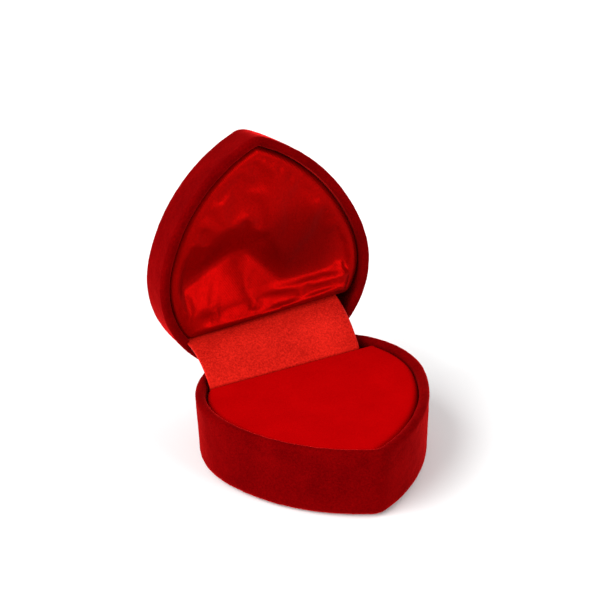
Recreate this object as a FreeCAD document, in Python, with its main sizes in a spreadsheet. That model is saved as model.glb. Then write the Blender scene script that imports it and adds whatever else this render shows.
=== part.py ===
"""Heart-shaped jewellery gift box with flocked shells, drawn with its lid open.

Frame: +Z up, origin on the rest face below the widest part of the heart, the tip of the heart
towards -Y, the hinge across the flat back, parallel to X.  Millimetres.  Every piece of the lid is
drawn over the base as if the box were shut, and its Placement then swings it open.
"""
import FreeCAD
import Part
import Sketcher
import math
import os

SIZES = [
    # heart outline of both rims: two lobe arcs, two long side arcs, a tip arc, flat tops and a cleft
    ("lobe_offset", 4.5, "lobe centres, each side of the middle"),
    ("lobe_radius", 20.0, "arc round each lobe"),
    ("tip_offset", 26.6, "tip arc centre, in front of the lobe centres"),
    ("tip_radius", 4.1, "arc round the tip"),
    ("side_radius", 39.1, "long arc between lobe and tip"),
    ("back_offset", 16.5, "flat tops of the lobes, behind the lobe centres"),
    ("corner_radius", 4.0, "arc between lobe and flat top"),
    ("shoulder_radius", 4.0, "arc from flat top into the cleft"),
    ("cleft_radius", 2.0, "arc at the bottom of the cleft"),
    ("cleft_bottom", 12.0, "bottom of the cleft, behind the lobe centres"),
    # shells
    ("wall", 2.1, "flocked wall at the rim"),
    ("draft_angle", 1.6, "lean of the outer walls, degrees"),
    ("rim_round", 0.95, "rounding of both edges of a rim"),
    ("base_height", 15.2, "rest face to base rim"),
    ("base_floor", 2.0, "thickness of the base's floor"),
    ("base_edge_round", 2.0, "rounding round the rest face"),
    ("rim_gap", 0.2, "between the two rims when shut"),
    ("lid_depth", 11.2, "lid rim to top of the shut lid"),
    ("lid_roof", 1.8, "thickness of the lid's roof"),
    ("lid_edge_round", 2.3, "rounding round the lid's roof"),
    # jewellery pad
    ("insert_back", 9.2, "straight rear edge of pad and lining, behind the lobe centres"),
    ("insert_corner", 0.9, "arc between lobe and straight rear edge on the inserts"),
    ("pad_groove", 0.95, "between base wall and pad"),
    ("pad_recess", 0.8, "base rim to top of the pad"),
    ("pad_edge_round", 0.6, "soft edge of the pad's cover"),
    ("velvet", 0.45, "thickness of the velvet cover"),
    ("pad_board", 1.0, "thickness of the card under the pad"),
    ("slip", 0.05, "clearance between pieces that only touch"),
    # lid lining
    ("lining_groove", 0.75, "between lid wall and lining"),
    ("lining_recess", 1.2, "lid rim to face of the lining"),
    ("lining_edge_round", 1.2, "soft edge of the satin"),
    ("satin", 0.3, "thickness of the satin"),
    ("wadding", 3.1, "thickness of the wadding"),
    ("lining_board", 0.8, "thickness of the card behind the wadding"),
    ("riser_inset", 6.5, "lid outline to the block that carries the lining"),
    # one small hinge on the flat top of each lobe
    ("axis_back", 16.8, "hinge axis behind the lobe centres"),
    ("axis_drop", 1.0, "hinge axis below the base rim"),
    ("open_angle", 96.0, "lid from shut to open, degrees"),
    ("hinge_spread", 10.15, "middle of each hinge, each side of the middle"),
    ("knuckle", 2.5, "each of the three knuckles of a barrel"),
    ("knuckle_gap", 0.15, "left free between neighbouring knuckles"),
    ("leaf", 0.4, "thickness of a hinge leaf"),
    ("leaf_height", 7.2, "height of a hinge leaf on its wall"),
    ("pin_radius", 0.5, "hinge pin"),
    ("pin_clearance", 0.05, "radial clearance of the pin in its knuckles"),
    ("pin_head", 0.4, "thickness of a peened head of the pin"),
    ("head_radius", 0.8, "peened head of the pin"),
    ("notch_play", 0.3, "notch beyond each peened head"),
    ("prong_width", 2.0, "prong that holds a leaf in its wall"),
    ("prong_reach", 1.2, "prong beyond the leaf"),
    ("prong_level", 5.2, "prong from the fold of the leaf"),
    # snap spring in each hinge
    ("spring_width", 2.2, "width of the spring strip"),
    ("spring_strip", 0.25, "thickness of the spring strip"),
    ("spring_foot", 3.0, "length of the spring lying on a leaf"),
    ("spring_setback", 1.3, "crown of the spring in front of the hinge axis"),
    ("spring_rise", 2.9, "crown of the spring above the hinge axis"),
    # ribbon over the hinge
    ("ribbon_width", 35.0, "width of the ribbon"),
    ("ribbon", 0.3, "thickness of the ribbon"),
    ("ribbon_setback", 3.0, "crown of the ribbon's bow in front of the hinge axis"),
    ("ribbon_rise", 4.6, "crown of the ribbon's bow above the hinge axis"),
    ("ribbon_tuck", 4.0, "end of the ribbon tucked behind pad and lining"),
]

SUBPARTS = []

doc = FreeCAD.newDocument("heart_gift_box")
sheet = doc.addObject("Spreadsheet::Sheet", "Sizes")
for row, (alias, number, meaning) in enumerate(SIZES, start=1):
    sheet.set(f"A{row}", str(number))
    sheet.setAlias(f"A{row}", alias)
    sheet.set(f"B{row}", meaning)
doc.recompute()


class Length:
    """A sum of sheet values: .value is the number now, .formula is what a property is bound to."""

    def __init__(self, *terms):
        self.terms = terms

    @property
    def value(self):
        signed = [(-1 if term.startswith("-") else 1, term.lstrip("-")) for term in self.terms]
        return sum(sign * getattr(sheet, alias) for sign, alias in signed)

    @property
    def formula(self):
        text = "0 mm"
        for term in self.terms:
            sign = "-" if term.startswith("-") else "+"
            text += f" {sign} Sizes.{term.lstrip('-')} * 1 mm"
        return text

    def plus(self, *terms):
        return Length(*self.terms, *terms)

    def negative(self):
        return Length(*[term[1:] if term.startswith("-") else "-" + term for term in self.terms])


ZERO = Length()
RIM_OF_BASE = Length("base_height")
RIM_OF_LID = RIM_OF_BASE.plus("rim_gap")
WALL_FACE = Length("back_offset", "-wall")
AXIS_LEVEL = RIM_OF_BASE.plus("-axis_drop")
BARREL_LENGTH = Length("knuckle", "knuckle", "knuckle")
SIDES = {"left": Length("-hinge_spread"), "right": Length("hinge_spread")}
BORE = Length("pin_radius", "pin_clearance")
BARREL = BORE.plus("leaf")
SAME_LEVEL = 1e-4


def new_body(label):
    """An empty body whose label names its file."""
    body = doc.addObject("PartDesign::Body", label)
    body.Label = label
    SUBPARTS.append(body)
    return body


def origin_plane(body, role):
    return next(plane for plane in body.Origin.OriginFeatures if plane.Role == role)


def new_sketch(body, name, role, offset=ZERO):
    """An empty sketch on an origin plane of the body, moved along its normal by offset."""
    sketch = body.newObject("Sketcher::SketchObject", name)
    sketch.AttachmentSupport = [(origin_plane(body, role), "")]
    sketch.MapMode = "FlatFace"
    sketch.AttachmentOffset = FreeCAD.Placement(
        FreeCAD.Vector(0, 0, offset.value), FreeCAD.Rotation())
    sketch.setExpression("AttachmentOffset.Base.z", offset.formula)
    return sketch


def bind(sketch, constraint, length):
    """Add a dimension to the sketch and tie it to the sheet."""
    index = sketch.addConstraint(constraint)
    sketch.setExpression(f"Constraints[{index}]", length.formula)


def place_vertex(sketch, edge, end, across, up):
    """Fix one vertex of an edge at sheet distances from the sketch's origin."""
    for kind, length in (("DistanceX", across), ("DistanceY", up)):
        bind(sketch, Sketcher.Constraint(kind, -1, 1, edge, end, length.value), length)


class Heart:
    """Centres and joints of the outline's right half, drawn inside the rims' outline by inset."""

    def __init__(self, inset, back, corner):
        self.lobe = sheet.lobe_radius - inset.value
        self.tip = sheet.tip_radius - inset.value
        self.side = sheet.side_radius - inset.value
        self.shoulder = sheet.shoulder_radius - inset.value
        self.cleft = sheet.cleft_radius + inset.value
        self.corner = corner.value
        self.lobe_centre = FreeCAD.Vector(sheet.lobe_offset, 0, 0)
        self.tip_centre = FreeCAD.Vector(0, -sheet.tip_offset, 0)
        self.side_centre = self.find_side_centre()
        reach = self.lobe - self.corner
        rise = back.value - self.corner
        self.corner_centre = self.lobe_centre + FreeCAD.Vector(math.sqrt(reach**2 - rise**2), rise, 0)
        self.tip_joint = self.on_circle(self.side_centre, self.tip_centre, self.side)
        self.lobe_joint = self.on_circle(self.side_centre, self.lobe_centre, self.side)
        self.corner_joint = self.on_circle(self.lobe_centre, self.corner_centre, self.lobe)
        self.back_joint = self.corner_centre + FreeCAD.Vector(0, self.corner, 0)

    def find_side_centre(self):
        """The side arc holds both the lobe circle and the tip circle, touching each from outside."""
        to_lobe = self.side - self.lobe
        to_tip = self.side - self.tip
        span = self.tip_centre - self.lobe_centre
        along = (to_lobe**2 - to_tip**2 + span.Length**2) / (2 * span.Length)
        aside = math.sqrt(to_lobe**2 - along**2)
        direction = span.normalize()
        inward = FreeCAD.Vector(direction.y, -direction.x, 0)
        return self.lobe_centre + direction * along + inward * aside

    @staticmethod
    def on_circle(centre, towards, radius):
        return centre + (towards - centre).normalize() * radius

    def right_arcs(self):
        """Centre, start and end of each arc from the tip up to the flat top of the lobe."""
        return [
            (self.side_centre, self.tip_joint, self.lobe_joint),
            (self.lobe_centre, self.lobe_joint, self.corner_joint),
            (self.corner_centre, self.corner_joint, self.back_joint),
        ]

    def cleft_arcs(self, back):
        """The right shoulder, rounded outwards, and the cleft arc, rounded inwards between both shoulders."""
        centre = FreeCAD.Vector(0, sheet.cleft_bottom + sheet.cleft_radius, 0)
        rise = back.value - self.shoulder - centre.y
        aside = math.sqrt((self.shoulder + self.cleft)**2 - rise**2)
        shoulder_centre = centre + FreeCAD.Vector(aside, rise, 0)
        start = shoulder_centre + FreeCAD.Vector(0, self.shoulder, 0)
        joint = self.on_circle(centre, shoulder_centre, self.cleft)
        return (shoulder_centre, start, joint), (centre, mirrored(joint), joint)


def mirrored(point):
    return FreeCAD.Vector(-point.x, point.y, point.z)


def mirrored_arcs(arcs):
    """The same arcs on the left, in the order and direction that carry the outline on."""
    return [(mirrored(centre), mirrored(end), mirrored(start)) for centre, start, end in reversed(arcs)]


def arc_between(centre, start, end):
    """The arc about centre that runs anticlockwise from start to end."""
    first = math.atan2(start.y - centre.y, start.x - centre.x)
    last = math.atan2(end.y - centre.y, end.x - centre.x)
    circle = Part.Circle(centre, FreeCAD.Vector(0, 0, 1), (start - centre).Length)
    return Part.ArcOfCircle(circle, first, last)


def heart_sketch(body, name, level, inset, back, corner, cleft):
    """The heart outline at a level, with its radii, centres and back tied to the sheet."""
    heart = Heart(inset, back, corner)
    sketch = new_sketch(body, name, "XY_Plane", level)
    edges = []

    def add_arcs(arcs, clockwise=False):
        for centre, start, end in arcs:
            index = sketch.addGeometry(arc_between(centre, start, end))
            edges.append((index, 2, 1) if clockwise else (index, 1, 2))

    def add_flat(start, end):
        index = sketch.addGeometry(Part.LineSegment(start, end))
        edges.append((index, 1, 2))
        sketch.addConstraint(Sketcher.Constraint("Horizontal", index))
        bind(sketch, Sketcher.Constraint("DistanceY", -1, 1, index, 1, back.value), back)

    tip_joint = heart.tip_joint
    add_arcs([(heart.tip_centre, mirrored(tip_joint), tip_joint)] + heart.right_arcs())
    if cleft:
        shoulder, bottom = heart.cleft_arcs(back)
        add_flat(heart.back_joint, shoulder[1])
        add_arcs([shoulder])
        add_arcs([bottom], clockwise=True)
        add_arcs(mirrored_arcs([shoulder]))
        add_flat(mirrored(shoulder[1]), mirrored(heart.back_joint))
    else:
        add_flat(heart.back_joint, mirrored(heart.back_joint))
    add_arcs(mirrored_arcs(heart.right_arcs()))

    for (edge, _, end), (following, start, _) in zip(edges, edges[1:] + edges[:1]):
        sketch.addConstraint(Sketcher.Constraint("Tangent", edge, end, following, start))
    tip_arc, side, lobe, bend = range(4)
    last = len(edges) - 1
    for step, edge in enumerate((side, lobe, bend)):
        sketch.addConstraint(Sketcher.Constraint("Equal", edge, last - step))
    sketch.addConstraint(Sketcher.Constraint("PointOnObject", tip_arc, 3, -2))
    sketch.addConstraint(Sketcher.Constraint("PointOnObject", lobe, 3, -1))
    sketch.addConstraint(Sketcher.Constraint("Symmetric", lobe, 3, last - 1, 3, -1, 1))
    offset = Length("lobe_offset")
    bind(sketch, Sketcher.Constraint("DistanceX", -1, 1, lobe, 3, offset.value), offset)
    drop = Length("tip_offset")
    bind(sketch, Sketcher.Constraint("DistanceY", tip_arc, 3, -1, 1, drop.value), drop)
    bind(sketch, Sketcher.Constraint("Radius", bend, corner.value), corner)
    radii = [(tip_arc, "tip_radius"), (side, "side_radius"), (lobe, "lobe_radius")]
    if cleft:
        right_shoulder, bottom_arc, left_shoulder = 5, 6, 7
        radii.append((right_shoulder, "shoulder_radius"))
        sketch.addConstraint(Sketcher.Constraint("Equal", right_shoulder, left_shoulder))
        sketch.addConstraint(Sketcher.Constraint("PointOnObject", bottom_arc, 3, -2))
        centre = Length("cleft_bottom", "cleft_radius")
        bind(sketch, Sketcher.Constraint("DistanceY", -1, 1, bottom_arc, 3, centre.value), centre)
        wide = Length("cleft_radius", *inset.terms)
        bind(sketch, Sketcher.Constraint("Radius", bottom_arc, wide.value), wide)
    for edge, alias in radii:
        radius = Length(alias, *inset.negative().terms)
        bind(sketch, Sketcher.Constraint("Radius", edge, radius.value), radius)
    return sketch


def rim_heart(body, name, level, inset=ZERO):
    """The heart of the shells, with its cleft."""
    back = Length("back_offset", *inset.negative().terms)
    corner = Length("corner_radius", *inset.negative().terms)
    return heart_sketch(body, name, level, inset, back, corner, cleft=True)


def insert_heart(body, name, level, inset, back=Length("insert_back")):
    """A heart inside a shell, cut straight in front of the cleft, where the ribbon goes down."""
    return heart_sketch(body, name, level, inset, back, Length("insert_corner"), cleft=False)


def outline_sketch(body, name, corners, offset=ZERO):
    """A closed side-view outline of straight edges.  Each corner is (across, up)."""
    sketch = new_sketch(body, name, "YZ_Plane", offset)
    points = [FreeCAD.Vector(across.value, up.value, 0) for across, up in corners]
    for start, end in zip(points, points[1:] + points[:1]):
        sketch.addGeometry(Part.LineSegment(start, end))
    for index, (across, up) in enumerate(corners):
        following = (index + 1) % len(corners)
        sketch.addConstraint(Sketcher.Constraint("Coincident", index, 2, following, 1))
        place_vertex(sketch, index, 1, across, up)
    return sketch


def block_corners(front, back, low, high):
    return [(front, low), (back, low), (back, high), (front, high)]


def pad(body, sketch, length, reverse=False, middle=False, taper=None):
    """Pad the sketch, and make sure that it added material."""
    before = body.Shape.Volume if body.Tip else 0
    feature = body.newObject("PartDesign::Pad", "Pad_" + sketch.Name)
    feature.Profile = sketch
    feature.Reversed = reverse
    feature.Midplane = middle
    feature.Length = length.value
    feature.setExpression("Length", length.formula)
    if taper:
        feature.TaperAngle = -getattr(sheet, taper)
        feature.setExpression("TaperAngle", f"-Sizes.{taper} * 1 deg")
    doc.recompute()
    if body.Shape.Volume <= before:
        raise RuntimeError(f"{feature.Name} adds nothing")


def pocket(body, sketch, length, reverse=False, middle=False):
    """Cut the sketch out of the body, and make sure that it cut."""
    before = body.Shape.Volume
    feature = body.newObject("PartDesign::Pocket", "Pocket_" + sketch.Name)
    feature.Profile = sketch
    feature.Reversed = reverse
    feature.Midplane = middle
    feature.Length = length.value
    feature.setExpression("Length", length.formula)
    doc.recompute()
    if body.Shape.Volume >= before:
        raise RuntimeError(f"{feature.Name} cuts nothing")


def fillet_level(body, name, level, alias):
    """Round every edge of the body that lies flat at a level."""
    base = body.Tip
    edges = []
    for index, edge in enumerate(base.Shape.Edges, start=1):
        off_level = max(abs(height - level.value) for height in (edge.BoundBox.ZMin, edge.BoundBox.ZMax))
        if off_level < SAME_LEVEL:
            edges.append(f"Edge{index}")
    feature = body.newObject("PartDesign::Fillet", name)
    feature.Base = (base, edges)
    feature.Radius = getattr(sheet, alias)
    feature.setExpression("Radius", f"Sizes.{alias} * 1 mm")
    doc.recompute()


def flocked_shell(label, rim, depth, roof, edge_round, opens_up):
    """A heart tray with leaning walls: the base opens upwards and the shut lid opens downwards."""
    body = new_body(label)
    closed_end = rim.plus(*(depth.negative().terms if opens_up else depth.terms))
    pad(body, rim_heart(body, "Outside", rim), depth, reverse=opens_up, taper="draft_angle")
    fillet_level(body, "RoundClosedEnd", closed_end, edge_round)
    hollow = rim_heart(body, "Hollow", rim, Length("wall"))
    pocket(body, hollow, depth.plus("-" + roof), reverse=not opens_up)
    fillet_level(body, "RoundRim", rim, "rim_round")
    return body


def cut_prong_slots(body, fold_level, upwards):
    """Slots in the back wall that take the prong of each hinge leaf."""
    corners = prong_corners(fold_level, upwards, play="slip")
    for side, offset in SIDES.items():
        sketch = outline_sketch(body, "Slot_" + side, corners, offset)
        pocket(body, sketch, Length("prong_width", "slip", "slip"), middle=True)


def prong_corners(fold_level, upwards, play=None):
    """Side view of a prong, from inside the leaf into the wall, with play around it."""
    grow = (play,) if play else ()
    shrink = ("-" + play,) if play else ()
    level = fold_level.plus("prong_level" if upwards else "-prong_level")
    front = WALL_FACE.plus("-slip", "-leaf") if play is None else WALL_FACE.plus("-slip")
    back = WALL_FACE.plus("-slip", "prong_reach", *grow)
    return block_corners(front, back, level.plus(*shrink), level.plus("leaf", *grow))


def make_base_shell():
    body = flocked_shell("base_shell", RIM_OF_BASE, Length("base_height"), "base_floor",
                         "base_edge_round", opens_up=True)
    notch_floor = AXIS_LEVEL.plus(*BARREL.negative().terms, "-slip", "-slip")
    corners = block_corners(WALL_FACE.plus("-slip"), Length("back_offset", "wall"),
                            notch_floor, RIM_OF_BASE.plus("wall"))
    width = BARREL_LENGTH.plus("slip", "slip", "pin_head", "pin_head", "notch_play", "notch_play")
    for side, offset in SIDES.items():
        pocket(body, outline_sketch(body, "HingeNotch_" + side, corners, offset), width, middle=True)
    cut_prong_slots(body, AXIS_LEVEL.plus(*BARREL.negative().terms), upwards=False)


def make_lid_shell():
    body = flocked_shell("lid_shell", RIM_OF_LID, Length("lid_depth"), "lid_roof",
                         "lid_edge_round", opens_up=False)
    cut_prong_slots(body, AXIS_LEVEL.plus(*BARREL.terms), upwards=True)


def make_pad_board():
    body = new_body("pad_board")
    inset = Length("wall", "slip", "slip")
    sketch = insert_heart(body, "Board", Length("base_floor"), inset)
    pad(body, sketch, Length("pad_board"))


def make_pad_foam():
    body = new_body("pad_foam")
    level = Length("base_floor", "pad_board")
    top = RIM_OF_BASE.plus("-pad_recess", "-velvet", "-slip")
    inset = Length("wall", "pad_groove", "velvet", "slip")
    back = Length("insert_back", "-velvet", "-slip")
    sketch = insert_heart(body, "Foam", level, inset, back)
    pad(body, sketch, top.plus(*level.negative().terms))


def make_pad_velvet():
    """The cover: a top and a skirt that hangs to the card."""
    body = new_body("pad_velvet")
    level = Length("base_floor", "pad_board")
    top = RIM_OF_BASE.plus("-pad_recess")
    height = top.plus(*level.negative().terms)
    inset = Length("wall", "pad_groove")
    pad(body, insert_heart(body, "Cover", level, inset), height)
    inner = insert_heart(body, "Underside", level, inset.plus("velvet"), Length("insert_back", "-velvet"))
    pocket(body, inner, height.plus("-velvet"), reverse=True)
    fillet_level(body, "SoftEdge", top, "pad_edge_round")


def make_lining_satin():
    """Satin over the wadding, folded round its sides to the back of the card."""
    body = new_body("lining_satin")
    face = RIM_OF_LID.plus("lining_recess")
    height = Length("satin", "wadding", "lining_board")
    inset = Length("wall", "lining_groove")
    pad(body, insert_heart(body, "Cloth", face, inset), height)
    inner = insert_heart(body, "Inside", face.plus("satin"), inset.plus("satin"),
                         Length("insert_back", "-satin"))
    pocket(body, inner, height.plus("-satin"), reverse=True)
    fillet_level(body, "SoftEdge", face, "lining_edge_round")


def make_lining_filling(label, start, thickness):
    """A flat layer that fills the satin."""
    body = new_body(label)
    inset = Length("wall", "lining_groove", "lining_edge_round")
    sketch = insert_heart(body, "Layer", start, inset, Length("insert_back", "-lining_edge_round"))
    pad(body, sketch, thickness)


def make_lid_fillings():
    face = RIM_OF_LID.plus("lining_recess", "satin")
    make_lining_filling("lining_wadding", face, Length("wadding"))
    make_lining_filling("lining_board", face.plus("wadding"), Length("lining_board"))
    body = new_body("lining_riser")
    level = face.plus("wadding", "lining_board")
    roof = RIM_OF_LID.plus("lid_depth", "-lid_roof")
    sketch = insert_heart(body, "Riser", level, Length("wall", "slip"), Length("insert_back", "-riser_inset"))
    pad(body, sketch, roof.plus(*level.negative().terms))


def make_leaf(label, side, upwards, free_knuckles):
    """A stamped leaf: a plate on the wall, folded to an arm that curls round the pin."""
    body = new_body(label)
    offset = SIDES[side]
    pad(body, circle_sketch(body, "Curl", [BARREL, BORE], offset), BARREL_LENGTH, middle=True)
    outer = AXIS_LEVEL.plus(*(BARREL.terms if upwards else BARREL.negative().terms))
    inner = AXIS_LEVEL.plus(*(BORE.terms if upwards else BORE.negative().terms))
    end = outer.plus("leaf_height" if upwards else "-leaf_height")
    front = WALL_FACE.plus("-slip", "-leaf")
    back = WALL_FACE.plus("-slip")
    corners = [(front, inner), (Length("axis_back"), inner), (Length("axis_back"), outer),
               (back, outer), (back, end), (front, end)]
    pad(body, outline_sketch(body, "Strip", corners, offset), BARREL_LENGTH, middle=True)
    cut = block_corners(Length("axis_back", *BARREL.negative().terms, "-leaf"),
                        Length("axis_back", *BARREL.terms, "leaf"),
                        AXIS_LEVEL.plus(*BARREL.negative().terms, "-leaf"),
                        AXIS_LEVEL.plus(*BARREL.terms, "leaf"))
    for place in free_knuckles:
        shift = {-1: ("-knuckle",), 0: (), 1: ("knuckle",)}[place]
        sketch = outline_sketch(body, "Gap", cut, offset.plus(*shift))
        pocket(body, sketch, Length("knuckle", "knuckle_gap"), middle=True)
    prong = outline_sketch(body, "Prong", prong_corners(outer, upwards), offset)
    pad(body, prong, Length("prong_width"), middle=True)


def circle_sketch(body, name, radii, offset=ZERO):
    """Circles about the hinge axis, in side view."""
    sketch = new_sketch(body, name, "YZ_Plane", offset)
    centre = FreeCAD.Vector(sheet.axis_back, AXIS_LEVEL.value, 0)
    for radius in radii:
        edge = sketch.addGeometry(Part.Circle(centre, FreeCAD.Vector(0, 0, 1), radius.value))
        place_vertex(sketch, edge, 3, Length("axis_back"), AXIS_LEVEL)
        bind(sketch, Sketcher.Constraint("Radius", edge, radius.value), radius)
    return sketch


def make_hinge_pin(side):
    """A plain pin with a peened head outside each end knuckle."""
    body = new_body("hinge_pin_" + side)
    length = BARREL_LENGTH.plus("slip", "slip", "pin_head", "pin_head")
    pad(body, circle_sketch(body, "Head", [Length("head_radius")], SIDES[side]), length, middle=True)
    between = circle_sketch(body, "Shank", [Length("head_radius", "slip"), Length("pin_radius")], SIDES[side])
    pocket(body, between, length.plus("-pin_head", "-pin_head"), middle=True)


def opened(across, up):
    """Where a point of the shut lid's side view lies once the lid is open."""
    angle = math.radians(sheet.open_angle)
    back = across - sheet.axis_back
    rise = up - AXIS_LEVEL.value
    return (sheet.axis_back + back * math.cos(angle) + rise * math.sin(angle),
            AXIS_LEVEL.value - back * math.sin(angle) + rise * math.cos(angle))


def bent_strip(label, path, bows, thickness, width, offset=ZERO):
    """A strip along a side-view path of points.  bows holds the middle point of each bowed stretch."""
    body = new_body(label)
    points = [FreeCAD.Vector(across, up, 0) for across, up in path]
    middles = [FreeCAD.Vector(*bow, 0) if bow else (start + end) * 0.5
               for start, end, bow in zip(points[:-1], points[1:], bows)]
    half = thickness.value / 2
    sides = []
    for shift in (half, -half):
        rows = []
        for index, point in enumerate(points):
            before = point - middles[index - 1] if index else middles[0] - point
            after = middles[index] - point if index < len(middles) else before
            rows.append(point + across_track(before.normalize() + after.normalize()) * shift)
        bends = [middle + across_track(end - start) * shift
                 for start, end, middle in zip(points[:-1], points[1:], middles)]
        sides.append((rows, bends))
    sketch = new_sketch(body, "Strip", "YZ_Plane", offset)
    for rows, bends in sides:
        for start, middle, end, bow in zip(rows[:-1], bends, rows[1:], bows):
            sketch.addGeometry(Part.Arc(start, middle, end) if bow else Part.LineSegment(start, end))
    for end in (0, -1):
        sketch.addGeometry(Part.LineSegment(sides[0][0][end], sides[1][0][end]))
    pad(body, sketch, width, middle=True)


def across_track(direction):
    """Unit vector to the left of a direction."""
    return FreeCAD.Vector(-direction.y, direction.x, 0).normalize()


def make_snap_spring(side):
    """A spring-steel strip that bridges both leaves of a hinge and throws the lid over centre."""
    gap = sheet.slip + sheet.spring_strip / 2
    base_face = WALL_FACE.value - sheet.slip - sheet.leaf - gap
    low = AXIS_LEVEL.value - BARREL.value - sheet.spring_foot
    lid_near = opened(base_face, AXIS_LEVEL.value + BARREL.value + sheet.leaf)
    lid_far = opened(base_face, AXIS_LEVEL.value + BARREL.value + sheet.leaf + sheet.spring_foot)
    path = [(base_face, low), (base_face, AXIS_LEVEL.value), lid_near, lid_far]
    crown = (sheet.axis_back - sheet.spring_setback, AXIS_LEVEL.value + sheet.spring_rise)
    bent_strip("snap_spring_" + side, path, (None, crown, None), Length("spring_strip"),
               Length("spring_width"), SIDES[side])


def make_ribbon():
    """The satin ribbon that hides the hinge, tucked behind the pad and behind the lining."""
    gap = sheet.slip * 2 + sheet.ribbon / 2
    behind = sheet.insert_back + gap
    pad_top = sheet.base_height - sheet.pad_recess
    lining_face = RIM_OF_LID.value + sheet.lining_recess
    path = [(behind, pad_top - sheet.ribbon_tuck), (behind, pad_top),
            opened(behind, lining_face), opened(behind, lining_face + sheet.ribbon_tuck)]
    crown = (sheet.axis_back - sheet.ribbon_setback, AXIS_LEVEL.value + sheet.ribbon_rise)
    bent_strip("hinge_ribbon", path, (None, crown, None), Length("ribbon"), Length("ribbon_width"))


def swing_open(label):
    """Turn a lid piece about the hinge axis from shut to open."""
    axis_point = FreeCAD.Vector(0, sheet.axis_back, AXIS_LEVEL.value)
    turn = FreeCAD.Rotation(FreeCAD.Vector(1, 0, 0), -sheet.open_angle)
    piece = doc.getObject(label)
    piece.Placement = FreeCAD.Placement(FreeCAD.Vector(0, 0, 0), turn, axis_point)


def check_and_write():
    """Stop on any failed object or bad solid, then write one file for each sub-part."""
    doc.recompute()
    failed = [thing.Name for thing in doc.Objects if {"Invalid", "Error"} & set(thing.State)]
    if failed:
        raise RuntimeError(f"failed objects: {failed}")
    os.makedirs("parts", exist_ok=True)
    for piece in SUBPARTS:
        shape = piece.Shape
        if shape.isNull() or not shape.isValid() or len(shape.Solids) != 1:
            raise RuntimeError(f"{piece.Label} is not one valid solid")
        shape.exportStep(os.path.join("parts", piece.Label + ".step"))
        print(f"{piece.Label}: {shape.Volume:.1f} mm3")


make_base_shell()
make_pad_board()
make_pad_foam()
make_pad_velvet()
make_ribbon()
make_lid_shell()
make_lining_satin()
make_lid_fillings()
for hinge_side in SIDES:
    make_leaf("base_hinge_leaf_" + hinge_side, hinge_side, upwards=False, free_knuckles=(0,))
    make_leaf("lid_hinge_leaf_" + hinge_side, hinge_side, upwards=True, free_knuckles=(-1, 1))
    make_hinge_pin(hinge_side)
    make_snap_spring(hinge_side)
for lid_piece in ("lid_shell", "lining_satin", "lining_wadding", "lining_board", "lining_riser",
                  "lid_hinge_leaf_left", "lid_hinge_leaf_right"):
    swing_open(lid_piece)
check_and_write()
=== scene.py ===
"""Heart-shaped jewellery gift box, standing open: its looks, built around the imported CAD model.

Outlines and profiles are worked out in millimetres, in the CAD frame, and turned into metres when a
mesh is made.  Pieces of the lid are drawn as if the box were shut and then swung open.
"""
import math

import bmesh
import bpy
import numpy as np
from mathutils import Matrix, Vector, geometry, noise


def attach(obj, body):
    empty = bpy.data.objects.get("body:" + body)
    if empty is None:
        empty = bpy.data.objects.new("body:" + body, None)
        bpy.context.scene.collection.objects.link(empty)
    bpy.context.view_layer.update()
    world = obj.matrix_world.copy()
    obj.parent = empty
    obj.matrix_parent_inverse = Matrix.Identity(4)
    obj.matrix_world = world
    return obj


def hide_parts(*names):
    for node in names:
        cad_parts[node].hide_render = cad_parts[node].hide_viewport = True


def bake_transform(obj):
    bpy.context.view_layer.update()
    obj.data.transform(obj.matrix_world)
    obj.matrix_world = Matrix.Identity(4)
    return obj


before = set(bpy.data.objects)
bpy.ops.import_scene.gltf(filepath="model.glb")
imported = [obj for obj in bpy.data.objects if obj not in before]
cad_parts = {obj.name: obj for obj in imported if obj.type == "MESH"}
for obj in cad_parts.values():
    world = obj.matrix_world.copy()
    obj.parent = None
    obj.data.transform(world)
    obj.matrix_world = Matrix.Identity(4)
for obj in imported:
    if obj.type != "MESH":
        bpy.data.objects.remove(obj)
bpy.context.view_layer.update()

MM = 0.001

# sizes shared with the CAD, in millimetres and radians
LOBE_CENTRE = np.array([4.5, 0.0])
TIP_CENTRE = np.array([0.0, -26.6])
LOBE_RADIUS = 20.0
TIP_RADIUS = 4.1
SIDE_RADIUS = 39.1
BACK = 16.5
CORNER_RADIUS = 4.0
SHOULDER_RADIUS = 4.0
CLEFT_RADIUS = 2.0
CLEFT_BOTTOM = 12.0
WALL = 2.1
DRAFT = math.radians(1.6)
BASE_HEIGHT = 15.2
BASE_FLOOR = 2.0
BASE_EDGE_ROUND = 2.0
RIM_GAP = 0.2
LID_DEPTH = 11.2
LID_ROOF = 1.8
LID_EDGE_ROUND = 2.3
LID_RIM = BASE_HEIGHT + RIM_GAP
AXIS = np.array([16.8, 14.2])
OPEN_ANGLE = math.radians(96.0)
HINGE_SPREAD = 10.15
NOTCH_HALF = 4.5
NOTCH_FLOOR = 13.15
PAD_TOP = 14.4
PAD_UNDERSIDE = 3.0
LINING_INSET = 2.85
LINING_BACK = 9.2
LINING_FACE = LID_RIM + 1.2
LINING_DEPTH = 4.2
LINING_EDGE = 1.2
RIBBON_TUCK = 4.0

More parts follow.
